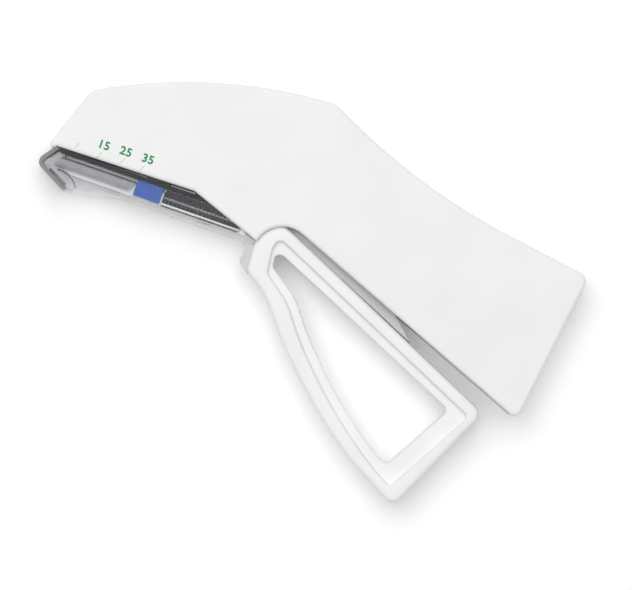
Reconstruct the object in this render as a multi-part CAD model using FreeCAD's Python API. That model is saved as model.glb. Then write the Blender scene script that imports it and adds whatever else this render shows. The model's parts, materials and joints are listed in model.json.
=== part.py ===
import FreeCAD, Part
import math
import os
from FreeCAD import Vector

# Skin stapler, in millimetres, lying on its side: +X towards the handle's end, +Y towards its back,
# +Z up through the upper shell.

# Shells
shell_wall = 1.8
rim_radius = 1.1
seam_overlap = 0.2
brow_radius = 5.0
end_top_radius = 3.0
end_bottom_radius = 2.0
nose_corner_radius = 1.0
mouth_margin = 2.4
mouth_reach = 12.0
case_side_gap = 0.1

# Body outline, on the drawing's own origin
nose_corner = (-76.3, 37.45)
brow = (-61.4, 56.3)
crest = (-30.0, 58.6)
back_fall = (4.0, 53.3)
shoulder_radius = 8.0
nape = (17.4, 42.0)
small_of_back = (33.0, 29.4)
handle_start = (55.0, 15.9)
handle_run = 25.0
end_bottom = (57.0, -35.4)
guard_centre = (-8.24, 10.02)
guard_radius = 8.4
guard_rear_angle = 149.0
guard_top_angle = 95.0
seat_rear = (-32.8, 28.3)
apex = (-71.0, 40.8)

# Screw-less joints between the shells
boss_radius = 2.4
peg_radius = 1.2
peg_length = 3.0
peg_clearance = 0.06
peg_room = 0.3
pin_seat = 0.7
pin_end_room = 0.1
rail_height = 1.6
rail_sheet = 1.2
rail_gap = 0.15
rail_start = 12.2
rail_end = 20.5
rail_slant = 0.55
boss_places = [(-43.0, 51.8), (4.0, 40.0), (30.0, 20.0), (66.0, -3.0)]

# Trigger
pivot = (-21.5, 35.5)
pivot_pin_radius = 2.5
pivot_boss_radius = 3.6
running_fit = 0.05
hub_radius = 6.2
hub_side_gap = 0.3
hub_room = 2.9
arm_step = 0.4
arm_tip_radius = 2.1
arm_root = 0.3
neck_rise = 1.5
neck_lean = 25.0
loop_thickness = 13.4
web_thickness = 9.0
loop_edge_radius = 1.2
recess_edge = 0.5
fork_width = 4.8
fork_depth = 4.0
fork_gap = 4.4
roller_clearance = 0.35
trigger_swing = 9.0

# Trigger loop outline
loop_top_left = (-15.9, 14.0)
loop_shoulder = (-18.1, 6.2)
loop_front_knee = (-12.6, -0.6)
loop_front_mid = (-2.8, -24.9)
loop_front_low = (10.5, -46.2)
loop_toe = (22.4, -59.4)
loop_tip = (47.6, -33.6)
loop_back_top = (-6.0, 17.2)
loop_toe_radius = 2.6
loop_tip_radius = 3.0
loop_top_radius = 2.5
loop_back_radius = 3.0
loop_shoulder_radius = 3.0
loop_knee_radius = 8.0

# Heel ahead of the loop and web behind it
heel_top = (-17.2, 14.4)
heel_point = (-20.3, 9.0)
heel_foot = (-18.0, 5.4)
heel_radius = 1.0
web_low_end = (27.5, -14.0)
web_high_end = (24.4, -8.4)
web_bend = (19.5, 1.0)

# Opening of the loop
hole_top = (-10.0, 12.6)
hole_front_knee = (-11.3, 7.2)
hole_waist = (-4.4, -2.4)
hole_front_mid = (5.2, -26.0)
hole_toe = (20.6, -48.6)
hole_tip = (38.6, -32.8)
hole_corner_radius = 2.0
waist_radius = 8.0

# Step round the opening
recess_top = (-9.3, 16.0)
recess_knee = (-14.4, 7.6)
recess_waist = (-7.2, -3.0)
recess_front_mid = (1.3, -24.6)
recess_toe = (21.6, -54.6)
recess_tip = (44.2, -34.6)

# Cartridge: u runs along the staple row from the apex to the rear, v away from the body
row_angle = -19.1
case_wall = 0.9
part_gap = 0.05
side_slip = 0.1
cover_top = 0.1
cover_sheet = 0.8
cover_depth = 1.35
cover_front = 1.2
cover_rear = 52.0
case_top = cover_depth + part_gap
case_shoulder = 50.0
case_slant = 5.6
case_slant_run = 0.9
floor_top = 6.4
case_bottom = 8.2
case_rear = 58.4
floor_front = 18.0
keel_nose = (8.0, 10.55)
keel_low = (11.0, 10.7)
keel_rise = (14.0, 10.1)
keel_end = (20.4, 8.2)
keel_inner_nose = (8.0, 9.55)
keel_inner_low = (11.2, 9.6)
window_place = (16.2, 6.4)
window_size = (4.4, 1.2)
rear_slot_place = (43.6, 6.9)
rear_slot_size = (3.6, 0.5)
ear_height = 4.2
ear_length = 7.0
ear_taper = 1.5
ear_overlap = 0.2
ear_rows = [30.0, 44.0]
dowel_radius = 1.2
tray_top = 1.2
tray_shoulder = 49.4
tray_rear = (55.0, 4.6)
tray_sheet = 0.6
gate_start = 3.0
gate_end = 12.0
gate_clearance = 0.25

# Nose
strap_top = (-0.1, -0.15)
strap_tip = (-4.5, 5.8)
strap_end = (5.3, 11.0)
strap_sheet = 1.1
strap_tip_radius = 2.2
exit_slot_start = 3.6
exit_slot_length = 3.2
relief_start = 3.2
relief_length = 3.3
relief_depth = 0.6
anvil_sheet = 0.8
anvil_tongue_width = 6.0
anvil_start = 4.2
anvil_root = 6.2
anvil_end = 10.2
anvil_overlap = 0.2

# Staples
staple_count = 35
wire = 0.54
staple_width = 12.2
staple_side_gap = 0.1
leg_length = 3.4
wire_gap = 0.03
crown_depth = 2.25

# Former: t runs back from the exit along the stroke, s across it towards the handle
stroke_angle = 46.0
exit_point = (-73.05, 33.99)
former_sheet = 0.5
former_side_gap = 0.1
former_rest_gap = 0.12
former_notch = 2.0
former_seat = 1.2
former_ear = 2.3
carriage_start = 15.4
carriage_end = 22.3
carriage_half = 3.5
carriage_bridge = 1.5
carriage_side_gap = 0.4
carriage_corner = 1.8
bay_side_gap = 0.2
drive_pin_radius = 1.2
drive_pin_run = 19.2
drive_pin_side = -1.6
drive_pin_inset = 0.2
drive_slot_fit = 0.1
drive_slot_slip = 3.3
roller_radius = 1.9
roller_half = 2.0
rivet_radius = 0.5
rivet_run = 0.95
rivet_offset = 1.0

# Follower, its spring and rod
follower_length = 7.7
follower_depth = 5.9
core_leg_gap = 0.96
core_slip = 0.1
core_bottom = 6.3
core_heel = 6.4
core_heel_rise = 1.7
core_front_gap = 0.3
core_split_gap = 0.5
spring_channel = 4.2
channel_slip = 0.2
rail_slip = 0.15
spring_axis = 3.6
spring_radius = 1.45
spring_wire = 0.4
spring_turns = 19
spring_end_gap = 0.15
rod_radius = 0.7
rod_slip = 0.1
rod_start = 7.0
rod_seat = 0.8
cap_length = 2.6
cap_gap = 0.2
cap_corners = [(0.0, 5.0), (1.4, 5.4), (1.9, floor_top - part_gap), (0.0, floor_top - part_gap)]
cap_post = [(0.0, 2.6), (1.2, 3.2), (1.6, 5.3), (0.0, 5.3)]
rear_rail_top = 5.3
rear_rail_bottom = 5.75

# Ejector leaf
leaf_sheet = 0.3
leaf_width = 4.0
leaf_foot = (8.4, 9.5)
leaf_crest = (4.6, 6.3)
leaf_toe = (2.0, 6.1)

# Coils
coil_facets = 6

# Return spring
return_wire = 0.8
return_turns = 2
return_turn_gap = 0.12
return_rise = 0.25
return_radius = 4.6
anchor_leg = 18.0
lever_leg = 13.0
return_turn = 20.0

staple_inside = staple_width + 2 * staple_side_gap
case_width = staple_inside + 2 * case_wall
total_thickness = case_width + 2 * case_side_gap + 2 * shell_wall
former_width = staple_width - 2 * former_side_gap
carriage_thickness = total_thickness - 2 * shell_wall - 2 * carriage_side_gap
hub_thickness = total_thickness - 2 * (shell_wall + hub_room)
arm_thickness = hub_thickness - 2 * arm_step
core_width = staple_width - 2 * (wire + core_leg_gap)
middle = total_thickness / 2
inner_low = shell_wall
inner_high = total_thickness - shell_wall


def direction(angle):
    return (math.cos(math.radians(angle)), math.sin(math.radians(angle)))


def moved(point, axis, distance):
    return (point[0] + axis[0] * distance, point[1] + axis[1] * distance)


row_axis = direction(row_angle)
down_axis = direction(row_angle - 90)
back_axis = direction(stroke_angle)
side_axis = direction(stroke_angle - 90)


def row_point(u, v):
    return moved(moved(apex, row_axis, u), down_axis, v)


def stroke_point(t, s):
    return moved(moved(exit_point, back_axis, t), side_axis, s)


def row_of(point):
    dx = point[0] - apex[0]
    dy = point[1] - apex[1]
    return (dx * row_axis[0] + dy * row_axis[1], dx * down_axis[0] + dy * down_axis[1])


def former_travel():
    """How far the former goes down while the trigger makes its full swing."""
    start = drive_pin_place()
    arm = (start[0] - pivot[0], start[1] - pivot[1])
    turn = direction(trigger_swing)
    end = (pivot[0] + arm[0] * turn[0] - arm[1] * turn[1],
           pivot[1] + arm[0] * turn[1] + arm[1] * turn[0])
    return -((end[0] - start[0]) * back_axis[0] + (end[1] - start[1]) * back_axis[1])


# Shape helpers
def at(point, z=0.0):
    return Vector(point[0], point[1], z)


def line(a, b):
    return Part.LineSegment(at(a), at(b)).toShape()


def arc(a, b, c):
    return Part.Arc(at(a), at(b), at(c)).toShape()


def closed(points):
    return Part.makePolygon([at(p) for p in points] + [at(points[0])])


def prism(wire, low, high):
    face = Part.Face(wire)
    solid = face.extrude(Vector(0, 0, high - low))
    solid.translate(Vector(0, 0, low))
    return solid


def plate(points, low, high):
    return prism(closed(points), low, high)


def centred(points, thickness):
    return plate(points, middle - thickness / 2, middle + thickness / 2)


def centred_wire(wire, thickness):
    return prism(wire, middle - thickness / 2, middle + thickness / 2)


def disc(point, radius, low, high):
    return Part.makeCylinder(radius, high - low, at(point, low))


def rounded_uprights(solid, corners):
    """Rounds the upright edges that stand on the named corners."""
    for point, radius in corners:
        edges = [e for e in solid.Edges if upright_on(e, point)]
        if edges:
            solid = solid.makeFillet(radius, edges)
    return solid


def upright_on(edge, point):
    a = edge.Vertexes[0].Point
    b = edge.Vertexes[-1].Point
    flat = math.hypot(a.x - b.x, a.y - b.y) < 1e-6
    return flat and math.hypot(a.x - point[0], a.y - point[1]) < 0.02


def level_edges(solid, z):
    return [e for e in solid.Edges if all(abs(v.Point.z - z) < 1e-6 for v in e.Vertexes)
            and abs(e.CenterOfMass.z - z) < 1e-6]


def shifted_path(points, distance):
    """Moves an open path of straight runs to its left by a distance, with mitred corners."""
    normals = []
    for a, b in zip(points, points[1:]):
        length = math.hypot(b[0] - a[0], b[1] - a[1])
        normals.append(((a[1] - b[1]) / length, (b[0] - a[0]) / length))
    result = [moved(points[0], normals[0], distance)]
    for point, first, second in zip(points[1:-1], normals, normals[1:]):
        scale = distance / (1 + first[0] * second[0] + first[1] * second[1])
        result.append((point[0] + (first[0] + second[0]) * scale,
                       point[1] + (first[1] + second[1]) * scale))
    result.append(moved(points[-1], normals[-1], distance))
    return result


def tangent_hull(a, radius_a, b, radius_b):
    """The outline of two discs and the straight sides that touch both."""
    dx = b[0] - a[0]
    dy = b[1] - a[1]
    length = math.hypot(dx, dy)
    along = math.degrees(math.atan2(dy, dx))
    spread = math.degrees(math.acos((radius_a - radius_b) / length))
    a_left = moved(a, direction(along + spread), radius_a)
    a_right = moved(a, direction(along - spread), radius_a)
    a_far = moved(a, direction(along + 180), radius_a)
    b_left = moved(b, direction(along + spread), radius_b)
    b_right = moved(b, direction(along - spread), radius_b)
    b_far = moved(b, direction(along), radius_b)
    edges = [arc(a_left, a_far, a_right), line(a_right, b_right), arc(b_right, b_far, b_left),
             line(b_left, a_left)]
    return Part.Wire(edges)


# Body outline
def guard_arc_point(angle):
    return moved(guard_centre, direction(angle), guard_radius)


def guard_start():
    """Where the handle's straight front edge touches the round of the guard."""
    dx = end_bottom[0] - guard_centre[0]
    dy = end_bottom[1] - guard_centre[1]
    length = math.hypot(dx, dy)
    angle = math.degrees(math.atan2(dy, dx)) + math.degrees(math.acos(guard_radius / length))
    return guard_arc_point(angle)


def guard_finish():
    return guard_arc_point(guard_rear_angle)


def shoulder_arc():
    """Three points of the round that touches both the back's arc and the handle's."""
    back = arc(brow, crest, back_fall).Curve
    rear = arc(nape, small_of_back, handle_start).Curve
    across = rear.Center - back.Center
    from_back = back.Radius - shoulder_radius
    from_rear = rear.Radius + shoulder_radius
    run = (across.Length ** 2 + from_back ** 2 - from_rear ** 2) / (2 * across.Length)
    along = across.normalize()
    left = Vector(-along.y, along.x, 0)
    centre = back.Center + along * run + left * math.sqrt(from_back ** 2 - run ** 2)
    first = (centre - back.Center).normalize()
    last = (rear.Center - centre).normalize()
    between = (first + last).normalize()
    return [centre + way * shoulder_radius for way in (first, between, last)]


def handle_end_top():
    """The top corner of the handle's end, straight on from the arc of its back."""
    rear = arc(nape, small_of_back, handle_start).Curve
    radial = (at(handle_start) - rear.Center).normalize()
    return moved(handle_start, (-radial.y, radial.x), handle_run)


def body_wire():
    front = guard_start()
    rear = guard_finish()
    first, between, last = [(p.x, p.y) for p in shoulder_arc()]
    end_top = handle_end_top()
    edges = [
        line(nose_corner, brow),
        arc(brow, crest, first),
        arc(first, between, last),
        arc(last, small_of_back, handle_start),
        line(handle_start, end_top),
        line(end_top, end_bottom),
        line(end_bottom, front),
        arc(front, guard_arc_point(guard_top_angle), rear),
        line(rear, seat_rear),
        line(seat_rear, apex),
        line(apex, nose_corner),
    ]
    return Part.Wire(edges)


def body_block(low, high):
    block = prism(body_wire(), low, high)
    corners = [(brow, brow_radius), (handle_end_top(), end_top_radius),
               (end_bottom, end_bottom_radius), (nose_corner, nose_corner_radius)]
    return rounded_uprights(block, corners)


def handle_front_axis():
    """The way out of the handle through its straight front edge."""
    start = guard_start()
    along = math.atan2(end_bottom[1] - start[1], end_bottom[0] - start[0])
    return direction(math.degrees(along) - 90)


def cavity():
    """The hollow between the shells: the outline less its wall, and open along the mouth."""
    block = body_block(0, 1)
    base = [f for f in block.Faces if abs(f.CenterOfMass.z) < 1e-6][0]
    inner = base.makeOffset2D(-shell_wall)
    hollow = inner.extrude(Vector(0, 0, inner_high - inner_low))
    hollow.translate(Vector(0, 0, inner_low))
    out = handle_front_axis()
    handle_foot = moved(end_bottom, (out[1], -out[0]), mouth_margin)
    nose = moved(nose_corner, back_axis, shell_wall)
    depth = -1.5 * shell_wall
    mouth = plate([
        moved(handle_foot, out, mouth_reach),
        moved(handle_foot, out, depth),
        moved(guard_start(), out, depth),
        moved(seat_rear, down_axis, depth),
        moved(apex, down_axis, depth),
        nose,
        moved(nose, side_axis, -mouth_reach),
        moved(apex, back_axis, -2 * mouth_reach),
        moved(guard_centre, back_axis, -2 * mouth_reach),
    ], inner_low, inner_high)
    return hollow.fuse(mouth)


def pin_bores(places, radius):
    """Blind seats for pins, sunk into both shells from inside."""
    low = inner_low - pin_seat - pin_end_room
    high = inner_high + pin_seat + pin_end_room
    return [disc(place, radius + peg_clearance, low, high) for place in places]


def lower_shell():
    block = body_block(0, middle)
    block = block.makeFillet(rim_radius, level_edges(block, 0))
    shell = block.cut(cavity())
    base = inner_low - seam_overlap
    studs = [disc(point, boss_radius, base, middle) for point in boss_places]
    pegs = [disc(point, peg_radius, middle - seam_overlap, middle + peg_length)
            for point in boss_places]
    bearing = disc(pivot, pivot_boss_radius, base, hub_low() - hub_side_gap)
    shell = shell.fuse(studs + pegs + [bearing, guide_rail(base, inner_low + rail_height)])
    shell = shell.cut(pin_bores([pivot], pivot_pin_radius) + pin_bores(dowel_places(), dowel_radius))
    return shell.removeSplitter()


def upper_shell():
    block = body_block(middle, total_thickness)
    block = block.makeFillet(rim_radius, level_edges(block, total_thickness))
    shell = block.cut(cavity())
    top = inner_high + seam_overlap
    studs = [disc(point, boss_radius, middle, top) for point in boss_places]
    sockets = [disc(point, peg_radius + peg_clearance, middle, middle + peg_length + peg_room)
               for point in boss_places]
    bearing = disc(pivot, pivot_boss_radius, hub_high() + hub_side_gap, top)
    shell = shell.fuse(studs + [bearing, guide_rail(inner_high - rail_height, top)]).cut(sockets)
    shell = shell.cut(pin_bores([pivot], pivot_pin_radius) + pin_bores(dowel_places(), dowel_radius))
    return shell.removeSplitter()


def guide_rail(low, high):
    """The rib beside the carriage, along its stroke."""
    near = carriage_half + rail_gap
    far = near + rail_sheet
    return plate([stroke_point(rail_start, near), stroke_point(rail_end, near),
                  stroke_point(rail_end, far), stroke_point(rail_start + rail_slant, far)], low, high)


def hub_low():
    return middle - hub_thickness / 2


def hub_high():
    return middle + hub_thickness / 2


# Trigger
def drive_pin_place():
    return stroke_point(drive_pin_run, drive_pin_side)


def loop_block():
    edges = [
        line(loop_toe, loop_tip),
        line(loop_tip, loop_back_top),
        line(loop_back_top, loop_top_left),
        line(loop_top_left, loop_shoulder),
        line(loop_shoulder, loop_front_knee),
        arc(loop_front_knee, loop_front_mid, loop_front_low),
        line(loop_front_low, loop_toe),
    ]
    block = centred_wire(Part.Wire(edges), loop_thickness)
    corners = [(loop_toe, loop_toe_radius), (loop_tip, loop_tip_radius),
               (loop_shoulder, loop_shoulder_radius), (loop_top_left, loop_top_radius),
               (loop_back_top, loop_back_radius), (loop_front_knee, loop_knee_radius)]
    return rounded_uprights(block, corners)


def loop_opening(low, high):
    edges = [
        line(hole_toe, hole_tip),
        line(hole_tip, hole_top),
        line(hole_top, hole_front_knee),
        line(hole_front_knee, hole_waist),
        arc(hole_waist, hole_front_mid, hole_toe),
    ]
    corners = [(place, hole_corner_radius)
               for place in (hole_toe, hole_tip, hole_top, hole_front_knee)]
    return rounded_uprights(prism(Part.Wire(edges), low, high), corners + [(hole_waist, waist_radius)])


def recess_block(low, high):
    """The step round the opening, on both faces of the loop."""
    edges = [
        line(recess_toe, recess_tip),
        line(recess_tip, recess_top),
        line(recess_top, recess_knee),
        line(recess_knee, recess_waist),
        arc(recess_waist, recess_front_mid, recess_toe),
    ]
    corners = [(place, hole_corner_radius)
               for place in (recess_toe, recess_tip, recess_top, recess_knee)]
    return rounded_uprights(prism(Part.Wire(edges), low, high),
                            corners + [(recess_waist, waist_radius)])


def trigger_loop():
    low = middle - loop_thickness / 2
    high = middle + loop_thickness / 2
    loop = loop_block()
    loop = loop.makeFillet(loop_edge_radius, level_edges(loop, low) + level_edges(loop, high))
    lower_step = recess_block(low - 1, middle - web_thickness / 2)
    upper_step = recess_block(middle + web_thickness / 2, high + 1)
    floor_low = level_edges(lower_step, middle - web_thickness / 2)
    floor_high = level_edges(upper_step, middle + web_thickness / 2)
    lower_step = lower_step.makeChamfer(recess_edge, floor_low)
    upper_step = upper_step.makeChamfer(recess_edge, floor_high)
    return loop.cut([lower_step, upper_step])


def trigger():
    arm = centred_wire(tangent_hull(pivot, hub_radius, drive_pin_place(), arm_tip_radius), arm_thickness)
    front_root = moved(pivot, direction(neck_lean + 180), hub_radius - arm_root)
    rear_root = moved(pivot, direction(neck_lean), hub_radius - arm_root)
    neck = centred([loop_top_left, moved(loop_top_left, (0, 1), neck_rise), front_root, rear_root,
                    web_bend, web_high_end, web_low_end, loop_back_top], arm_thickness)
    heel = centred([heel_top, heel_point, heel_foot, hole_front_knee], web_thickness)
    heel = rounded_uprights(heel, [(heel_point, heel_radius)])
    hub = disc(pivot, hub_radius, hub_low(), hub_high())
    lever = trigger_loop().fuse([neck, arm, hub, heel])
    lever = lever.cut(loop_opening(0, total_thickness))
    lever = lever.cut(disc(pivot, pivot_pin_radius + running_fit, 0, total_thickness))
    place = drive_pin_place()
    half = fork_width / 2
    reach = moved(place, back_axis, -fork_depth)
    fork = centred([moved(place, side_axis, half), moved(place, side_axis, -half),
                    moved(reach, side_axis, -half), moved(reach, side_axis, half)], fork_gap)
    bay = disc(place, roller_radius + roller_clearance, middle - fork_gap / 2, middle + fork_gap / 2)
    pin_bore = disc(place, drive_pin_radius, 0, total_thickness)
    return lever.cut([fork, bay, pin_bore]).removeSplitter()


def trigger_pivot_pin():
    return disc(pivot, pivot_pin_radius, inner_low - pin_seat, inner_high + pin_seat)


def drive_pin():
    half = carriage_thickness / 2 - drive_pin_inset
    return disc(drive_pin_place(), drive_pin_radius, middle - half, middle + half)


def drive_roller():
    ring = disc(drive_pin_place(), roller_radius, middle - roller_half, middle + roller_half)
    return ring.cut(disc(drive_pin_place(), drive_pin_radius + running_fit, 0, total_thickness))


def half_turn(radius, first_angle, foot, rise, section):
    """Half a turn of square wire about Z, flat or climbing evenly across, with straight facets."""
    angles = [first_angle + 180 * k / coil_facets for k in range(coil_facets + 1)]
    inner = radius - section / 2
    outer = radius + section / 2
    ring = [moved((0, 0), direction(a), outer) for a in angles]
    ring += [moved((0, 0), direction(a), inner) for a in reversed(angles)]
    points = [Vector(x, y, foot + rise * (1 + x / radius) / 2) for x, y in ring]
    return Part.Face(Part.makePolygon(points + points[:1])).extrude(Vector(0, 0, section))


def coil_spring(radius, pitch, turns, section):
    """A coil about Z from the foot upwards: each turn is a flat half and a climbing half."""
    halves = []
    for turn in range(turns):
        foot = turn * pitch - section / 2
        halves.append(half_turn(radius, 0, foot, 0, section))
        halves.append(half_turn(radius, 180, foot, pitch, section))
    return halves[0].fuse(halves[1:]).removeSplitter()


def return_spring():
    pitch = return_wire + return_turn_gap
    half = return_wire / 2
    foot = hub_low() - hub_side_gap - pitch * return_turns - half + return_rise
    coil = coil_spring(return_radius, pitch, return_turns, return_wire)
    coil.translate(Vector(0, 0, foot))
    lower_leg = Part.makeBox(return_wire, anchor_leg, return_wire,
                             Vector(return_radius - half, 0, foot - half))
    upper_leg = Part.makeBox(return_wire, lever_leg, return_wire,
                             Vector(return_radius - half, -lever_leg, foot + pitch * return_turns - half))
    spring = coil.fuse([lower_leg, upper_leg])
    spring.rotate(Vector(0, 0, 0), Vector(0, 0, 1), return_turn)
    spring.translate(at(pivot))
    return spring


# Former
def stroke_slab(start, end, half, thickness):
    """A slab along the stroke, as wide as twice its half across it."""
    return centred([stroke_point(start, -half), stroke_point(end, -half),
                    stroke_point(end, half), stroke_point(start, half)], thickness)


def former_plate():
    foot = crown_run() + wire / 2 + former_rest_gap
    half = former_sheet / 2
    blade = stroke_slab(foot, carriage_start + former_seat, half, former_width)
    ears = stroke_slab(carriage_start, carriage_start + former_ear, half, former_width)
    between_ears = stroke_slab(0, carriage_end, carriage_half, arm_thickness + 2 * hub_side_gap)
    notch = stroke_slab(0, foot + former_notch, former_sheet, anvil_tongue_width + 2 * side_slip)
    blade = blade.fuse(ears.cut(between_ears)).cut(notch)
    return blade.cut(rivet_bodies()).removeSplitter()


def crown_run():
    """How far back along the stroke the first staple's crown lies."""
    u, v = row_of(exit_point)
    slope = back_axis[0] * down_axis[0] + back_axis[1] * down_axis[1]
    return (crown_depth - v) / slope


def rivet_bodies():
    bodies = []
    offset = arm_thickness / 2 + rivet_offset
    start = stroke_point(carriage_start + rivet_run, -carriage_half)
    for z in (middle - offset, middle + offset):
        bodies.append(Part.makeCylinder(rivet_radius, 2 * carriage_half, at(start, z), at(side_axis)))
    return bodies


def former_carriage():
    half = carriage_half
    block = stroke_slab(carriage_start, carriage_end, half, carriage_thickness)
    block = rounded_uprights(block, [(stroke_point(carriage_end, -half), carriage_corner),
                                     (stroke_point(carriage_end, half), carriage_corner)])
    bay = stroke_slab(carriage_start + carriage_bridge, carriage_end + 1, half + 1,
                      arm_thickness + 2 * bay_side_gap)
    last = moved(drive_pin_place(), side_axis, drive_slot_slip)
    slot_radius = drive_pin_radius + drive_slot_fit
    slot = prism(tangent_hull(drive_pin_place(), slot_radius, last, slot_radius), 0, total_thickness)
    return block.cut([bay, slot, former_plate()] + rivet_bodies()).removeSplitter()


def carriage_rivets():
    return Part.makeCompound(rivet_bodies())


# Cartridge
def case_levels():
    return middle - case_width / 2, middle + case_width / 2


def case_cheeks(points):
    """The same outline as two side plates at the cartridge's outer faces."""
    low, high = case_levels()
    return plate(points, low, low + case_wall).fuse(plate(points, high - case_wall, high))


def row_box(place, size, thickness):
    """A box with its sides along the staple row, from its front corner nearest the body."""
    return centred([row_point(*place), row_point(place[0] + size[0], place[1]),
                    row_point(place[0] + size[0], place[1] + size[1]),
                    row_point(place[0], place[1] + size[1])], thickness)


def skin_axis():
    length = math.hypot(strap_end[0] - strap_tip[0], strap_end[1] - strap_tip[1])
    return ((strap_end[0] - strap_tip[0]) / length, (strap_end[1] - strap_tip[1]) / length)


def skin_point(along, inward):
    """A place in the nose: along the skin face from the tip, and inward from its outer face."""
    axis = skin_axis()
    return row_point(*moved(moved(strap_tip, axis, along), (axis[1], -axis[0]), inward))


def skin_slab(start, end, near, far, thickness):
    """A slab along the skin face, between two depths inward from it."""
    return centred([skin_point(start, near), skin_point(end, near),
                    skin_point(end, far), skin_point(start, far)], thickness)


def strap_line(inward):
    return shifted_path([strap_top, strap_tip, strap_end], -inward)


def nose_plate():
    outline = strap_line(0) + strap_line(strap_sheet)[::-1]
    strap = centred([row_point(*p) for p in outline], case_width)
    inner_corner = row_point(*strap_line(strap_sheet)[1])
    strap = rounded_uprights(strap, [(row_point(*strap_tip), strap_tip_radius),
                                     (inner_corner, strap_tip_radius - strap_sheet)])
    slot = skin_slab(exit_slot_start, exit_slot_start + exit_slot_length, -1, strap_sheet + 1,
                     staple_inside)
    return strap.cut(slot)


def anvil_plate():
    low = strap_sheet + part_gap
    high = low + anvil_sheet
    tongue = skin_slab(anvil_start, anvil_root + anvil_overlap, low, high, anvil_tongue_width)
    root = skin_slab(anvil_root, anvil_end, low, high, staple_inside - 2 * side_slip)
    return tongue.fuse(root).removeSplitter()


def cartridge_case():
    nose = strap_line(strap_sheet + part_gap)
    front_top = row_of(moved(row_point(*nose[0]), row_axis, cover_sheet))
    cheek = [(front_top[0], case_top)] + nose[1:]
    cheek += [keel_nose, keel_low, keel_rise, keel_end, (case_rear, case_bottom),
              (case_rear - case_slant_run, case_slant), (case_shoulder, case_top)]
    case = case_cheeks([row_point(*p) for p in cheek])
    case = rounded_uprights(case, [(row_point(*nose[1]), strap_tip_radius - strap_sheet - part_gap)])
    floor = centred([row_point(floor_front, floor_top),
                     row_point(case_rear - case_slant_run / 2, floor_top),
                     row_point(case_rear, case_bottom), row_point(*keel_end)], case_width)
    keel = centred([row_point(*p) for p in (keel_nose, keel_inner_nose, keel_inner_low,
                                            (floor_front, floor_top), keel_end, keel_rise, keel_low)],
                   case_width)
    case = case.fuse([floor, keel])
    window = row_box(window_place, window_size, total_thickness)
    rear_slot = row_box(rear_slot_place, rear_slot_size, total_thickness)
    relief = skin_slab(relief_start, relief_start + relief_length, 0,
                       strap_sheet + part_gap + relief_depth, total_thickness)
    return case.cut([window, rear_slot, relief]).removeSplitter()


def cartridge_cover():
    low, high = case_levels()
    length = cover_rear - cover_front
    channel = row_box((cover_front, cover_top), (length, cover_depth - cover_top), case_width)
    room = row_box((cover_front - 1, cover_top + cover_sheet), (length + 2, cover_depth), staple_inside)
    channel = channel.cut(room)
    half = ear_length / 2
    for u in ear_rows:
        ear = [row_point(u - half, cover_top + ear_overlap), row_point(u + half, cover_top + ear_overlap),
               row_point(u + half - ear_taper, -ear_height), row_point(u - half + ear_taper, -ear_height)]
        channel = channel.fuse(case_cheeks(ear))
    tray_low = low + case_wall + side_slip
    tray_front = stack_end() + follower_length + core_split_gap
    tray_bottom = floor_top - part_gap
    tray = plate([row_point(tray_front, tray_top), row_point(tray_shoulder, tray_top),
                  row_point(*tray_rear), row_point(tray_rear[0], tray_bottom),
                  row_point(tray_front, tray_bottom)], tray_low, tray_low + tray_sheet)
    hem = plate([row_point(tray_front, cover_top), row_point(tray_shoulder, cover_top),
                 row_point(tray_shoulder, tray_top), row_point(tray_front, tray_top)],
                low, tray_low + tray_sheet)
    channel = channel.fuse([tray, hem])
    for place in dowel_places():
        channel = channel.cut(disc(place, dowel_radius + running_fit, low - 1, high + 1))
    gate = stroke_slab(gate_start, gate_end, former_sheet / 2 + gate_clearance, staple_inside)
    return channel.cut(gate).removeSplitter()


def dowel_places():
    return [row_point(u, -ear_height / 2) for u in ear_rows]


def cartridge_pins():
    low = inner_low - pin_seat
    high = inner_high + pin_seat
    return Part.makeCompound([disc(place, dowel_radius, low, high) for place in dowel_places()])


def stroke_line_at(v, side):
    """Where the stroke's own line, moved sideways, crosses a depth below the row."""
    start = row_of(stroke_point(0, side))
    lean = math.tan(math.radians(stroke_angle - row_angle - 90))
    return row_point(start[0] + (v - start[1]) * lean, v)


def magazine_core():
    side = wire / 2 + core_front_gap
    top = crown_depth + wire / 2 + core_slip
    split = stack_end() + follower_length + core_split_gap
    rear = case_rear - cap_length - cap_gap
    body = centred([stroke_line_at(top, side), row_point(split, top), row_point(split, rear_rail_top),
                    row_point(rear, rear_rail_top), row_point(rear, rear_rail_bottom),
                    row_point(split, rear_rail_bottom), row_point(split, core_bottom),
                    row_point(core_heel, core_bottom),
                    stroke_line_at(core_bottom - core_heel_rise, side)], core_width)
    channel = row_box((-core_heel, 0), (case_rear + core_heel, rear_rail_top), spring_channel)
    return body.cut(channel).removeSplitter()


def staple_pitch():
    lean = math.radians(stroke_angle - row_angle - 90)
    return (wire + wire_gap) / math.cos(lean)


def stack_end():
    u, v = row_of(stroke_point(crown_run(), 0))
    return u + (staple_count - 1) * staple_pitch() + wire / 2 + spring_end_gap


def staple(index):
    """One staple: a flat-lying crown across the row, with its two legs down the stroke."""
    run = crown_run()
    half = wire / 2
    blank = stroke_slab(run - leg_length, run + half, half, staple_width)
    inside = stroke_slab(run - leg_length - 1, run - half, wire, staple_width - 2 * wire)
    body = blank.cut(inside)
    body.translate(at(row_axis) * (index * staple_pitch()))
    return body


def staple_stack():
    return Part.makeCompound([staple(i) for i in range(1, staple_count)])


def front_staple():
    return staple(0)


def rod_bore(start, length, radius):
    return Part.makeCylinder(radius, length, at(row_point(start, spring_axis), middle), at(row_axis))


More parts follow.
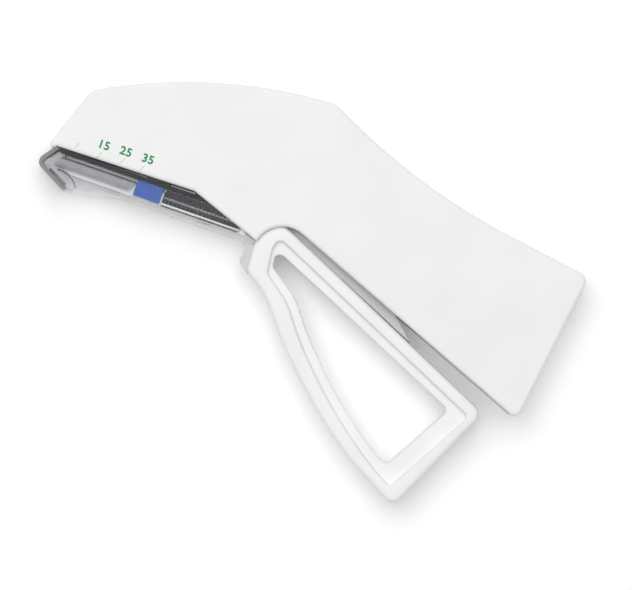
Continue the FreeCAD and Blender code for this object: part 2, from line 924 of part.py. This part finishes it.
def follower():
    front = stack_end()
    top = case_top + side_slip
    saddle_top = crown_depth + wire / 2
    body = row_box((front, top), (follower_length, follower_depth - top), staple_inside - 2 * side_slip)
    saddle = row_box((front - 1, saddle_top), (follower_length + 2, follower_depth),
                     core_width + 2 * core_slip)
    tongue = row_box((front, top), (follower_length, rear_rail_top - rail_slip - top),
                     spring_channel - 2 * channel_slip)
    bore = rod_bore(front - 1, follower_length + 2, rod_radius + rod_slip)
    return body.cut(saddle).fuse(tongue).cut(bore).removeSplitter()


def spring_rod():
    return rod_bore(rod_start, case_rear - cap_length + rod_seat - rod_start, rod_radius)


def follower_spring():
    start = stack_end() + follower_length + spring_end_gap + spring_wire / 2
    end = case_rear - cap_length - spring_end_gap - spring_wire / 2
    coil = coil_spring(spring_radius, (end - start) / spring_turns, spring_turns, spring_wire)
    coil.rotate(Vector(0, 0, 0), Vector(0, 1, 0), 90)
    coil.rotate(Vector(0, 0, 0), Vector(0, 0, 1), row_angle)
    coil.translate(at(row_point(start, spring_axis), middle))
    return coil


def end_cap():
    front = case_rear - cap_length
    cap = centred([row_point(front + u, v) for u, v in cap_corners], staple_inside - side_slip)
    post = centred([row_point(front + u, v) for u, v in cap_post], spring_channel)
    return cap.fuse(post).cut(rod_bore(front - rod_seat, 2 * rod_seat, rod_radius)).removeSplitter()


def ejector_spring():
    lower = [row_point(*p) for p in (leaf_toe, leaf_crest, leaf_foot)]
    upper = [moved(p, down_axis, -leaf_sheet) for p in lower]
    edges = [arc(*lower), line(lower[2], upper[2]), arc(*upper[::-1]), line(upper[0], lower[0])]
    return centred_wire(Part.Wire(edges), leaf_width)



pieces = {
    "lower_shell": lower_shell,
    "upper_shell": upper_shell,
    "trigger": trigger,
    "trigger_pivot_pin": trigger_pivot_pin,
    "return_spring": return_spring,
    "drive_pin": drive_pin,
    "drive_roller": drive_roller,
    "former_carriage": former_carriage,
    "former_plate": former_plate,
    "carriage_rivets": carriage_rivets,
    "cartridge_case": cartridge_case,
    "cartridge_cover": cartridge_cover,
    "cartridge_pins": cartridge_pins,
    "magazine_core": magazine_core,
    "nose_plate": nose_plate,
    "anvil_plate": anvil_plate,
    "ejector_spring": ejector_spring,
    "staple_stack": staple_stack,
    "front_staple": front_staple,
    "follower": follower,
    "spring_rod": spring_rod,
    "follower_spring": follower_spring,
    "end_cap": end_cap,
}


def build():
    os.makedirs("parts", exist_ok=True)
    shapes = {name: make() for name, make in pieces.items()}
    box = FreeCAD.BoundBox()
    for name in ("lower_shell", "upper_shell", "trigger", "nose_plate"):
        box.add(shapes[name].optimalBoundingBox(False, False))
    centre = Vector(-box.Center.x, -box.Center.y, 0)
    for name, shape in shapes.items():
        shape.translate(centre)
        shape.exportStep(os.path.join("parts", name + ".step"))
        print(name, shape.isValid(), len(shape.Solids), round(shape.Volume, 2))
    print("size", round(box.XLength, 3), round(box.YLength, 3), "shift", centre)
    print("pivot", at(pivot) + centre)
    print("former travel", former_travel())


build()
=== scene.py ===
import json
import math

import bpy
import numpy as np
from mathutils import Matrix, Vector


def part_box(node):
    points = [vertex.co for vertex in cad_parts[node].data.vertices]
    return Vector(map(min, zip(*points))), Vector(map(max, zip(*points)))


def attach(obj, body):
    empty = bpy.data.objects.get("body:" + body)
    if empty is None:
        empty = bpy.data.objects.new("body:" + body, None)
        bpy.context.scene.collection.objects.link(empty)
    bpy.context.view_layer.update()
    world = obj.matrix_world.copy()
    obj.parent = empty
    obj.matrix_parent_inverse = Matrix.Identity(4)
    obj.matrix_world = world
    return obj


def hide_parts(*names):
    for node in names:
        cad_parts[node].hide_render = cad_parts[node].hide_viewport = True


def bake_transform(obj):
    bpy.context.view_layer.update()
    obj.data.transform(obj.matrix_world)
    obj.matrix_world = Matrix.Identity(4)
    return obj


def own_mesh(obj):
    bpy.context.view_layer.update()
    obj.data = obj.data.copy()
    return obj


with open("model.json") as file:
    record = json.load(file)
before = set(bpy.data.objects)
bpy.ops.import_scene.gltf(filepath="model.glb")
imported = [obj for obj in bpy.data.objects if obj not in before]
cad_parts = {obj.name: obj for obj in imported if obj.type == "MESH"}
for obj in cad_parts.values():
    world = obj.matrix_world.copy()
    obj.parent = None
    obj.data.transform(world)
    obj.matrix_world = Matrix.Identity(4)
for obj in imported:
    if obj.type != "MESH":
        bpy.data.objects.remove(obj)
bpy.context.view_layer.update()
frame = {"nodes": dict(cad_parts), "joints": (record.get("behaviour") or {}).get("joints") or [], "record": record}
nodes = frame["nodes"]
joints = {j["name"]: j for j in frame["joints"]}
MM = 0.001

# The photograph's width and middle, and the middle of the part in it, in pixels, and the real size of a
# pixel on the upper face
PHOTO_WIDTH = 632
PHOTO_MIDDLE = (316.0, 295.0)
PIXEL = 0.278 * MM
BOX_MIDDLE = (312.573, 291.867)
upper_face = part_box("upper_shell")[1][2]
middle_height = upper_face / 2

# The staple row: its direction from the nose to the rear, and the stroke's, from the former to the exit
row = -np.array(joints["follower_feed"]["axis"])
stroke = np.array(joints["former_stroke"]["axis"])
across = np.array([0.0, 0.0, 1.0])


def photo_place(px, py, height):
    """The place in the frame, at the given height, of a pixel of the photograph."""
    return np.array([(px - BOX_MIDDLE[0]) * PIXEL, (BOX_MIDDLE[1] - py) * PIXEL, height])


# Colours and material nodes
def linear(hex_colour):
    """An sRGB hex colour as linear values with full alpha."""
    channels = [int(hex_colour[i:i + 2], 16) / 255 for i in (1, 3, 5)]
    return [c / 12.92 if c <= 0.04045 else ((c + 0.055) / 1.055) ** 2.4 for c in channels] + [1.0]


def add_node(tree, kind, settings=None, inputs=None, links=None):
    """Adds one node, sets its properties and sockets, and links its inputs to given output sockets."""
    node = tree.nodes.new(kind)
    for name, value in (settings or {}).items():
        setattr(node, name, value)
    for name, value in (inputs or {}).items():
        node.inputs[name].default_value = value
    for name, socket in (links or {}).items():
        tree.links.new(socket, node.inputs[name])
    return node


def new_material(name, **inputs):
    """A Principled material with the given values on its sockets."""
    material = bpy.data.materials.new(name)
    material.use_nodes = True
    tree = material.node_tree
    shader = tree.nodes["Principled BSDF"]
    for key, value in inputs.items():
        shader.inputs[key.replace("_", " ")].default_value = value
    return material, tree, shader


def object_noise(tree, size_mm, detail=2.0, stretch=(1.0, 1.0, 1.0), turn=(0.0, 0.0, 0.0)):
    """Noise on Object coordinates whose lumps are about the given size in millimetres."""
    place = add_node(tree, "ShaderNodeTexCoord")
    mapping = add_node(tree, "ShaderNodeMapping", {}, {"Scale": stretch, "Rotation": turn},
                       {"Vector": place.outputs["Object"]})
    return add_node(tree, "ShaderNodeTexNoise", {}, {"Scale": 1 / (size_mm * MM), "Detail": detail},
                    {"Vector": mapping.outputs["Vector"]})


def add_bump(tree, shader, height, depth_mm, strength=1.0, edge_mm=0.1):
    """A relief of the given depth, on edges softened by the given radius."""
    edge = add_node(tree, "ShaderNodeBevel", {"samples": 4}, {"Radius": edge_mm * MM})
    bump = add_node(tree, "ShaderNodeBump", {}, {"Distance": depth_mm * MM, "Strength": strength},
                    {"Height": height, "Normal": edge.outputs["Normal"]})
    tree.links.new(bump.outputs["Normal"], shader.inputs["Normal"])


def spread(tree, source, low, high):
    """Turns a noise value into a value between two limits."""
    mapped = add_node(tree, "ShaderNodeMapRange", {}, {"From Min": 0.3, "From Max": 0.7, "To Min": low,
                      "To Max": high}, {"Value": source})
    return mapped.outputs["Result"]


def two_tones(tree, source, first, second):
    """Turns a noise value into a colour between two near tones."""
    ramp = add_node(tree, "ShaderNodeValToRGB", {}, {}, {"Fac": source})
    ramp.color_ramp.elements[0].position = 0.35
    ramp.color_ramp.elements[0].color = linear(first)
    ramp.color_ramp.elements[1].position = 0.65
    ramp.color_ramp.elements[1].color = linear(second)
    return ramp.outputs["Color"]


def moulded_abs(name, light, dark, roughness):
    """White ABS from a finely spark-eroded mould, or a greyer copy of it whose grey is painted shade: satin,
    faintly grained and cloudy.
    """
    material, tree, shader = new_material(name, IOR=1.53)
    grain = object_noise(tree, 0.35, 3.0)
    cloud = object_noise(tree, 14.0, 1.0)
    tree.links.new(two_tones(tree, cloud.outputs["Fac"], dark, light), shader.inputs["Base Color"])
    tree.links.new(spread(tree, grain.outputs["Fac"], roughness - 0.04, roughness + 0.04),
                   shader.inputs["Roughness"])
    add_bump(tree, shader, grain.outputs["Fac"], 0.02, 0.35)
    return material


def clear_polycarbonate():
    """Clear moulded polycarbonate: polished, with slight flow waves that bend what lies behind."""
    material, tree, shader = new_material("clear_polycarbonate", IOR=1.48, Transmission_Weight=1.0,
                                          Roughness=0.02)
    waves = object_noise(tree, 4.0, 1.0)
    tree.links.new(two_tones(tree, waves.outputs["Fac"], "#FAFAFD", "#FFFFFF"),
                   shader.inputs["Base Color"])
    add_bump(tree, shader, waves.outputs["Fac"], 0.01, 0.3, 0.25)
    return material


def steel(name, light, dark, roughness, grain_mm, stretch, turn=(0.0, 0.0, 0.0), depth_mm=0.004):
    """Steel with the fine lines that rolling, drawing or brushing leaves, long one way."""
    material, tree, shader = new_material(name, Metallic=1.0)
    lines = object_noise(tree, grain_mm, 2.0, stretch, turn)
    tree.links.new(two_tones(tree, lines.outputs["Fac"], dark, light), shader.inputs["Base Color"])
    tree.links.new(spread(tree, lines.outputs["Fac"], roughness - 0.06, roughness + 0.08),
                   shader.inputs["Roughness"])
    add_bump(tree, shader, lines.outputs["Fac"], depth_mm, 0.3)
    return material


def plain_moulding(name, light, dark, roughness, ior):
    """A small moulded plastic piece: even colour with a fine satin grain."""
    material, tree, shader = new_material(name, IOR=ior)
    grain = object_noise(tree, 0.3, 2.0)
    tree.links.new(two_tones(tree, grain.outputs["Fac"], dark, light), shader.inputs["Base Color"])
    tree.links.new(spread(tree, grain.outputs["Fac"], roughness - 0.05, roughness + 0.05),
                   shader.inputs["Roughness"])
    add_bump(tree, shader, grain.outputs["Fac"], 0.015, 0.3)
    return material


def pad_ink(name, colour):
    """Pad-printed ink: a thin satin film, a little uneven where the pad pressed."""
    material, tree, shader = new_material(name, IOR=1.5)
    speck = object_noise(tree, 0.25, 2.0)
    tree.links.new(two_tones(tree, speck.outputs["Fac"], colour[0], colour[1]), shader.inputs["Base Color"])
    tree.links.new(spread(tree, speck.outputs["Fac"], 0.4, 0.55), shader.inputs["Roughness"])
    return material


row_turn = math.atan2(row[1], row[0])
finishes = {
    "white_abs": moulded_abs("white_abs_moulded", "#F3F3F3", "#F0F0F0", 0.42),
    "trigger_abs": moulded_abs("trigger_abs_moulded", "#F5F5F6", "#F1F1F2", 0.38),
    "clear_polycarbonate": clear_polycarbonate(),
    "pivot_steel": steel("ground_steel", "#C9CACC", "#A9ABAE", 0.28, 0.4, (1.0, 1.0, 0.1)),
    "spring_steel": steel("drawn_spring_steel", "#B4B7BC", "#9A9DA3", 0.3, 0.3, (1.0, 1.0, 1.0)),
    "stainless_sheet": steel("brushed_stainless", "#9C9EA1", "#7E8083", 0.4, 0.25, (1.0, 1.0, 0.06)),
    # A steel part whose dark tone is painted shade: it stands in for the shaded hollow of the magazine behind the
    # feed spring
    "dark_steel": steel("dark_steel_painted_shade", "#4C4E52", "#404246", 0.4, 0.5, (0.05, 1.0, 1.0),
                        (0.0, 0.0, -row_turn), 0.001),
    "staple_wire": steel("drawn_staple_wire", "#D2D3D6", "#BDBFC3", 0.3, 0.3, (1.0, 1.0, 1.0)),
    "acetal": plain_moulding("acetal_moulded", "#E4E4E0", "#DCDCD8", 0.4, 1.48),
    "core_plastic": plain_moulding("core_nylon", "#E2E2E6", "#D6D6DC", 0.42, 1.53),
    "blued_spring": steel("blued_spring_leaf", "#3E4146", "#33363B", 0.35, 0.3, (1.0, 1.0, 1.0)),
    # The web's grey is painted shade: a darker copy of the trigger's white for its recessed surfaces
    "web_painted_shade": moulded_abs("trigger_web_painted_shade", "#D4D4D5", "#D0D0D1", 0.5),
    "blue_plastic": plain_moulding("blue_polypropylene", "#0452AC", "#044B9E", 0.42, 1.49),
}
green_ink = pad_ink("green_pad_print", ("#2A8552", "#338F5D"))
pale_ink = pad_ink("pale_green_pad_print", ("#A9BDB3", "#BCCBC3"))

slot_of = {part["node"]: part["material_slot"] for part in frame["record"]["subparts"]}
# The trigger's solid shows as its web and heel; their grey, darker than the loop's white, is painted shade of
# their recessed surfaces
finish_of = dict(slot_of, ejector_spring="blued_spring", trigger="web_painted_shade")
for name, node in nodes.items():
    node.data.materials.clear()
    node.data.materials.append(finishes[finish_of[name]])
# Clear plastic that casts no shadow lets the lamp reach the staples behind it
nodes["cartridge_case"].visible_shadow = False


# Mesh helpers
def mesh_piece(name, vertices, faces, material, body, record_slot, smooth=True):
    """A piece at the origin, riding the body if one is given."""
    mesh = bpy.data.meshes.new(name)
    mesh.from_pydata([tuple(v) for v in vertices.tolist()], [], faces)
    mesh.validate()
    mesh.update()
    mesh.polygons.foreach_set("use_smooth", [smooth] * len(mesh.polygons))
    piece = bpy.data.objects.new(name, mesh)
    bpy.context.scene.collection.objects.link(piece)
    mesh.materials.append(material)
    if body:
        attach(piece, body)
    return piece


def tube(path, radius, sides, up):
    """A round wire along a path: at each point a circle in the plane across the path's direction, as
    radius times (cos a * side + sin a * rise), with side = direction x up, closed by a cap at each end."""
    heading = np.gradient(path, axis=0)
    heading /= np.linalg.norm(heading, axis=1)[:, None]
    side = np.cross(heading, up)
    side /= np.linalg.norm(side, axis=1)[:, None]
    rise = np.cross(side, heading)
    angle = np.linspace(0, 2 * math.pi, sides, endpoint=False)
    ring = (np.cos(angle)[None, :, None] * side[:, None, :]
            + np.sin(angle)[None, :, None] * rise[:, None, :])
    vertices = (path[:, None, :] + radius * ring).reshape(-1, 3)
    rows = len(path)
    i, j = np.meshgrid(np.arange(rows - 1), np.arange(sides), indexing="ij")
    k = (j + 1) % sides
    quads = np.stack([i * sides + j, i * sides + k, (i + 1) * sides + k, (i + 1) * sides + j], axis=-1)
    faces = quads.reshape(-1, 4).tolist()
    faces.append(list(range(sides))[::-1])
    faces.append([(rows - 1) * sides + n for n in range(sides)])
    return vertices, faces


def joined(shapes):
    """Several vertex and face lists as one."""
    all_vertices = np.concatenate([v for v, _ in shapes])
    all_faces = []
    start = 0
    for vertices, faces in shapes:
        all_faces += [[n + start for n in face] for face in faces]
        start += len(vertices)
    return all_vertices, all_faces


# Staples
WIRE = 0.56 * MM
BEND = 0.75 * MM
LEG = 3.4 * MM
CROWN = 12.2 * MM
BEND_STEPS = 5
WIRE_SIDES = 8
STAPLES_WAITING = 34


def staple_path(crown_middle):
    """One staple: two legs along the stroke, two quarter-circle bends and the crown between them."""
    half = CROWN / 2 - WIRE / 2
    turn = np.linspace(0, math.pi / 2, BEND_STEPS)
    lower = [crown_middle - across * half + stroke * (LEG - WIRE / 2)]
    centre = crown_middle - across * (half - BEND) + stroke * BEND
    lower += [centre - across * BEND * math.cos(t) - stroke * BEND * math.sin(t) for t in turn]
    points = np.array(lower)
    offset = points - crown_middle
    mirrored = points - 2 * (offset @ across)[:, None] * across
    return np.concatenate([points, mirrored[::-1]])


def staple_row():
    """The whole stack: the front staple's place moved along the row by the pitch of the CAD stack."""
    low, high = (np.array(c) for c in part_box("front_staple"))
    crown = (low + high) / 2 - stroke * (LEG / 2 - WIRE / 2)
    stack_low, stack_high = (np.array(c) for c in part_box("staple_stack"))
    reach = (stack_high[0] - high[0]) / row[0]
    pitch = reach / STAPLES_WAITING
    shapes = [tube(staple_path(crown + row * pitch * n), WIRE / 2, WIRE_SIDES, np.cross(stroke, across))
              for n in range(1, STAPLES_WAITING + 1)]
    piece = mesh_piece("staples", *joined(shapes), finishes["staple_wire"], "frame", "staple_wire")
    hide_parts("staple_stack")
    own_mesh(piece)
    first = mesh_piece("first_staple",
                       *tube(staple_path(crown), WIRE / 2, WIRE_SIDES, np.cross(stroke, across)),
                       finishes["staple_wire"], "frame", "staple_wire")
    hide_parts("front_staple")


# Feed spring
SPRING_WIRE = 0.42 * MM
SPRING_PLAY = 0.6 * MM
SPRING_TURNS = 19
STEPS_A_TURN = 20


def helix(start, axis, radius, length, turns, steps):
    """A helix: start + axis * length * t + radius * (cos a, sin a) in the plane across the axis, with
    a = turns * 2 pi * t and t from 0 to 1."""
    t = np.linspace(0, 1, int(turns * steps) + 1)
    angle = 2 * math.pi * turns * t
    side = np.cross(axis, across)
    side = side / np.linalg.norm(side)
    rise = np.cross(axis, side)
    return (start + axis * (length * t)[:, None]
            + radius * (np.cos(angle)[:, None] * side + np.sin(angle)[:, None] * rise))


def feed_spring():
    """The follower's spring in round wire, as even turns from the follower back to the end cap."""
    low, high = (np.array(c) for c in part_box("follower_spring"))
    centre = (low + high) / 2
    radius = (high[2] - low[2]) / 2 - SPRING_WIRE / 2
    length = (high[0] - low[0]) / row[0] - SPRING_PLAY
    start = centre - row * length / 2
    path = helix(start, row, radius, length, SPRING_TURNS, STEPS_A_TURN)
    piece = mesh_piece("feed_spring", *tube(path, SPRING_WIRE / 2, WIRE_SIDES, row),
                       finishes["spring_steel"], None, "spring_steel")
    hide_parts("follower_spring")
    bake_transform(piece)


# Printed scale: the numbers' middles and the marks' feet, as pixels of the photograph
NUMBERS = (("15", 104.0, 145.5), ("25", 126.0, 152.0), ("35", 148.0, 159.5))
TICKS = (("tick_15", 96.3, 158.4), ("tick_25", 119.6, 163.9), ("tick_35", 139.4, 171.4))
FIRST_TICK = (75.0, 147.9)
LONG_TICK = 2.2
SHORT_TICK = 1.8
NUMBER_HEIGHT = 2.35
CAPITAL_SHARE = 0.72
NUMBER_SPACING = 1.08
STROKE_GAIN = 0.1 * MM
INK_HALF = 0.015 * MM
INK_RISE = 0.01 * MM
TICK_HALF_WIDTH = 0.09 * MM
TICK_HALF_DEPTH = 0.02 * MM


def printed(name, piece_mesh, material):
    """Puts a printed shape on the frame, with the ink as its only material."""
    piece = bpy.data.objects.new(name, piece_mesh)
    bpy.context.scene.collection.objects.link(piece)
    piece_mesh.materials.clear()
    piece_mesh.materials.append(material)
    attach(piece, "frame")


def number(text, px, py):
    """A plain number, printed square to the staple row."""
    curve = bpy.data.curves.new("number_" + text, "FONT")
    curve.body = text
    curve.size = NUMBER_HEIGHT * MM / CAPITAL_SHARE
    curve.align_x = "CENTER"
    curve.align_y = "CENTER"
    curve.extrude = INK_HALF
    curve.offset = STROKE_GAIN
    curve.space_character = NUMBER_SPACING
    holder = bpy.data.objects.new("number_" + text, curve)
    bpy.context.scene.collection.objects.link(holder)
    bpy.context.view_layer.update()
    mesh = bpy.data.meshes.new_from_object(holder)
    bpy.data.objects.remove(holder)
    points = np.empty(len(mesh.vertices) * 3)
    mesh.vertices.foreach_get("co", points)
    points = points.reshape(-1, 3)
    turn = np.array([[math.cos(row_turn), -math.sin(row_turn)],
                     [math.sin(row_turn), math.cos(row_turn)]])
    place = photo_place(px, py, upper_face)
    points[:, :2] = points[:, :2] @ turn.T + place[:2]
    points[:, 2] += place[2] + INK_RISE
    mesh.vertices.foreach_set("co", points.reshape(-1))
    mesh.update()
    printed("scale_number_" + text, mesh, green_ink)


def tick(name, px, py, length_mm):
    """A printed line, its length in mm, from its foot at the rail up along the staples' lean."""
    foot = photo_place(px, py, upper_face)
    lean = -stroke
    side = np.cross(across, lean)
    ends = [foot + lean * d * MM for d in (0.0, length_mm)]
    wide = side * TICK_HALF_WIDTH
    flat = [ends[0] - wide, ends[1] - wide, ends[1] + wide, ends[0] + wide]
    vertices = np.array([p - across * TICK_HALF_DEPTH for p in flat]
                        + [p + across * TICK_HALF_DEPTH for p in flat])
    faces = [[3, 2, 1, 0], [4, 5, 6, 7], [0, 1, 5, 4], [1, 2, 6, 5], [2, 3, 7, 6], [3, 0, 4, 7]]
    mesh_piece(name, vertices, faces, pale_ink, "frame", "white_abs", smooth=False)


def printed_scale():
    for text, px, py in NUMBERS:
        number(text, px, py)
    for name, px, py in TICKS:
        tick(name, px, py, LONG_TICK)
    tick("tick_5", *FIRST_TICK, SHORT_TICK)


# Trigger loop: its corners, clockwise from the toe, as pixels of the photograph, and their radii in mm
LOOP_OUTER = [(392.8, 506.9), (349.6, 459.2), (321.8, 422.0), (280.0, 339.3), (266.5, 295.1),
              (246.4, 270.7), (257.0, 234.0), (280.0, 220.3), (484.0, 413.6)]
LOOP_OUTER_RADII = [2.7, 12.0, 140.0, 90.0, 25.0, 3.1, 5.0, 2.0, 3.1]
LOOP_STEP = [(390.0, 487.6), (367.0, 461.8), (327.7, 402.2), (297.6, 337.4), (287.4, 303.0),
             (267.0, 273.2), (272.3, 248.5), (279.4, 237.3), (469.6, 417.2)]
LOOP_STEP_RADII = [1.7, 100.0, 130.0, 85.0, 20.0, 1.5, 4.0, 1.7, 1.7]
LOOP_HOLE = [(386.5, 466.0), (366.6, 442.7), (332.6, 389.3), (306.3, 331.5), (297.4, 300.9),
             (272.8, 266.7), (275.6, 255.0), (282.8, 255.0), (449.5, 410.7)]
LOOP_HOLE_RADII = [1.7, 90.0, 115.0, 75.0, 20.0, 1.7, 1.2, 1.7, 1.7]
LOOP_FACE = 6.75 * MM
LOOP_FLOOR = 4.55 * MM
OUTER_ROUND = 1.25 * MM
STEP_ROUND = 0.45 * MM
STEP_FOOT = 0.5 * MM
RIM_ROUND = 0.5 * MM
ROUND_STEPS = 5


def rounded_outline(corners, radii_mm, arc_steps=10, run_steps=8):
    """A closed outline of straight runs, with an arc of its own radius touching both runs at each corner:
    the arc starts radius / tan(half the inside angle) from the corner, about a centre on the bisector."""
    here = np.array([photo_place(px, py, 0.0)[:2] for px, py in corners])
    radius = (np.array(radii_mm) * MM)[:, None]
    back = np.roll(here, 1, axis=0) - here
    back /= np.linalg.norm(back, axis=1)[:, None]
    ahead = np.roll(here, -1, axis=0) - here
    ahead /= np.linalg.norm(ahead, axis=1)[:, None]
    half = np.arccos(np.sum(back * ahead, axis=1))[:, None] / 2
    first = here + back * radius / np.tan(half)
    last = here + ahead * radius / np.tan(half)
    bisector = back + ahead
    bisector /= np.linalg.norm(bisector, axis=1)[:, None]
    centre = here + bisector * radius / np.sin(half)
    sweep = (math.pi - 2 * half)[:, :, None]
    t = np.linspace(0, 1, arc_steps)[None, :, None]
    arc = centre[:, None] + (np.sin((1 - t) * sweep) * (first - centre)[:, None]
                             + np.sin(t * sweep) * (last - centre)[:, None]) / np.sin(sweep)
    t = np.linspace(0, 1, run_steps + 2)[None, 1:-1, None]
    run = last[:, None] + t * (np.roll(first, -1, axis=0) - last)[:, None]
    return np.concatenate([arc, run], axis=1).reshape(-1, 2)


def outward(outline):
    """Unit normals of a closed outline that runs clockwise, pointing out of it."""
    along = np.roll(outline, -1, axis=0) - np.roll(outline, 1, axis=0)
    normal = np.stack([-along[:, 1], along[:, 0]], axis=1)
    after = np.roll(outline, -1, axis=0)
    area = np.sum(outline[:, 0] * after[:, 1] - outline[:, 1] * after[:, 0])
    return normal / np.linalg.norm(normal, axis=1)[:, None] * (-1 if area > 0 else 1)


def quarter(radius):
    """A quarter round from a wall up to a face: the way gone sideways, radius times (1 - cos a), and up,
    radius times sin a."""
    t = np.linspace(0, math.pi / 2, ROUND_STEPS)
    return list(zip(radius * (1 - np.cos(t)), radius * np.sin(t)))


def trigger_loop():
    """The loop's moulding: one section carried round it. From the outer wall a quarter round leads to the
    face, then a rounded step goes down to the floor round the opening, whose edge is rounded again."""
    outer = rounded_outline(LOOP_OUTER, LOOP_OUTER_RADII)
    step = rounded_outline(LOOP_STEP, LOOP_STEP_RADII)
    hole = rounded_outline(LOOP_HOLE, LOOP_HOLE_RADII)
    section = [(outer, -side, LOOP_FACE - OUTER_ROUND + up) for side, up in quarter(OUTER_ROUND)]
    section += [(step, side, LOOP_FACE - STEP_ROUND + up) for side, up in reversed(quarter(STEP_ROUND))]
    section += [(step, -side, LOOP_FLOOR + STEP_FOOT - up) for side, up in quarter(STEP_FOOT)]
    section += [(hole, side, LOOP_FLOOR - RIM_ROUND + up) for side, up in reversed(quarter(RIM_ROUND))]
    rings = [(outline + outward(outline) * shift, height) for outline, shift, height in section]
    rings += [(flat, -height) for flat, height in reversed(rings)]
    vertices = np.stack([np.column_stack([flat, np.full(len(flat), middle_height + height)])
                         for flat, height in rings])
    rows, columns = vertices.shape[:2]
    i, j = np.meshgrid(np.arange(rows), np.arange(columns), indexing="ij")
    i_next = (i + 1) % rows
    j_next = (j + 1) % columns
    quads = np.stack([i * columns + j, i * columns + j_next, i_next * columns + j_next,
                      i_next * columns + j], axis=-1).reshape(-1, 4)
    mesh_piece("trigger_loop_moulding", vertices.reshape(-1, 3), quads.tolist(),
               finishes["trigger_abs"], "trigger_lever", "trigger_abs")


# Stage
FLOOR_SIDE = 4.0
FLOOR_GLOW = 0.16
WORLD_LIGHT = 0.45
WORLD_SEEN = 1.0
LAMP_PLACE = (-0.1, 0.26, 1.0)
LAMP_SIDE = 0.75
LAMP_POWER = 6.6
CAMERA_DISTANCE = 1.4
TILT_LEFT = math.radians(1.0)
TILT_DOWN = math.radians(0.5)
SENSOR = 36.0


def direct_view(tree):
    """1 for camera, glossy and transmission rays, and 0 for the others."""
    path = add_node(tree, "ShaderNodeLightPath")
    seen = add_node(tree, "ShaderNodeMath", {"operation": "MAXIMUM"}, {},
                    {0: path.outputs["Is Camera Ray"], 1: path.outputs["Is Glossy Ray"]})
    through = add_node(tree, "ShaderNodeMath", {"operation": "MAXIMUM"}, {},
                       {0: seen.outputs[0], 1: path.outputs["Is Transmission Ray"]})
    return through.outputs[0]


def make_floor():
    """Pale paper that keeps the shadow, and glows a little where it is seen, so that it meets the white."""
    bpy.ops.mesh.primitive_plane_add(size=FLOOR_SIDE)
    floor = bpy.context.object
    floor.name = "floor"
    material, tree, shader = new_material("floor_paper", Roughness=0.9)
    shader.inputs["Base Color"].default_value = linear("#F6F6F6")
    shader.inputs["Emission Color"].default_value = linear("#FFFFFF")
    glow = add_node(tree, "ShaderNodeMath", {"operation": "MULTIPLY"}, {1: FLOOR_GLOW},
                    {0: direct_view(tree)})
    tree.links.new(glow.outputs[0], shader.inputs["Emission Strength"])
    floor.data.materials.append(material)


def make_world():
    """An even white studio, seen brighter than it lights."""
    world = bpy.data.worlds.new("studio")
    bpy.context.scene.world = world
    world.use_nodes = True
    tree = world.node_tree
    background = tree.nodes["Background"]
    background.inputs["Color"].default_value = (1, 1, 1, 1)
    level = add_node(tree, "ShaderNodeMapRange", {}, {"To Min": WORLD_LIGHT, "To Max": WORLD_SEEN},
                     {"Value": direct_view(tree)})
    tree.links.new(level.outputs["Result"], background.inputs["Strength"])


def make_lamp():
    """A soft square lamp above, turned to the origin. Mirrors and clear plastic don't show it."""
    data = bpy.data.lights.new("key", "AREA")
    data.size = LAMP_SIDE
    data.energy = LAMP_POWER
    lamp = bpy.data.objects.new("key", data)
    lamp.location = LAMP_PLACE
    lamp.rotation_euler = (-Vector(LAMP_PLACE)).to_track_quat("-Z", "Y").to_euler()
    lamp.visible_glossy = False
    lamp.visible_transmission = False
    bpy.context.scene.collection.objects.link(lamp)


def make_camera():
    """Nearly square to the side face, as a product shot from far away."""
    target = Vector(photo_place(*PHOTO_MIDDLE, upper_face))
    offset = Vector((-math.sin(TILT_LEFT), -math.sin(TILT_DOWN),
                     math.cos(TILT_LEFT) * math.cos(TILT_DOWN)))
    data = bpy.data.cameras.new("camera")
    data.sensor_width = SENSOR
    data.lens = data.sensor_width * CAMERA_DISTANCE / (PHOTO_WIDTH * PIXEL)
    data.clip_end = 10.0
    camera = bpy.data.objects.new("camera", data)
    back = offset.normalized()
    right = Vector((0, 1, 0)).cross(back).normalized()
    up = back.cross(right)
    camera.location = target + back * CAMERA_DISTANCE
    camera.rotation_euler = Matrix((right, up, back)).transposed().to_euler()
    bpy.context.scene.collection.objects.link(camera)
    bpy.context.scene.camera = camera


make_camera()
make_floor()
make_world()
make_lamp()
bpy.context.scene.view_settings.view_transform = "Standard"

trigger_loop()
staple_row()
feed_spring()
printed_scale()
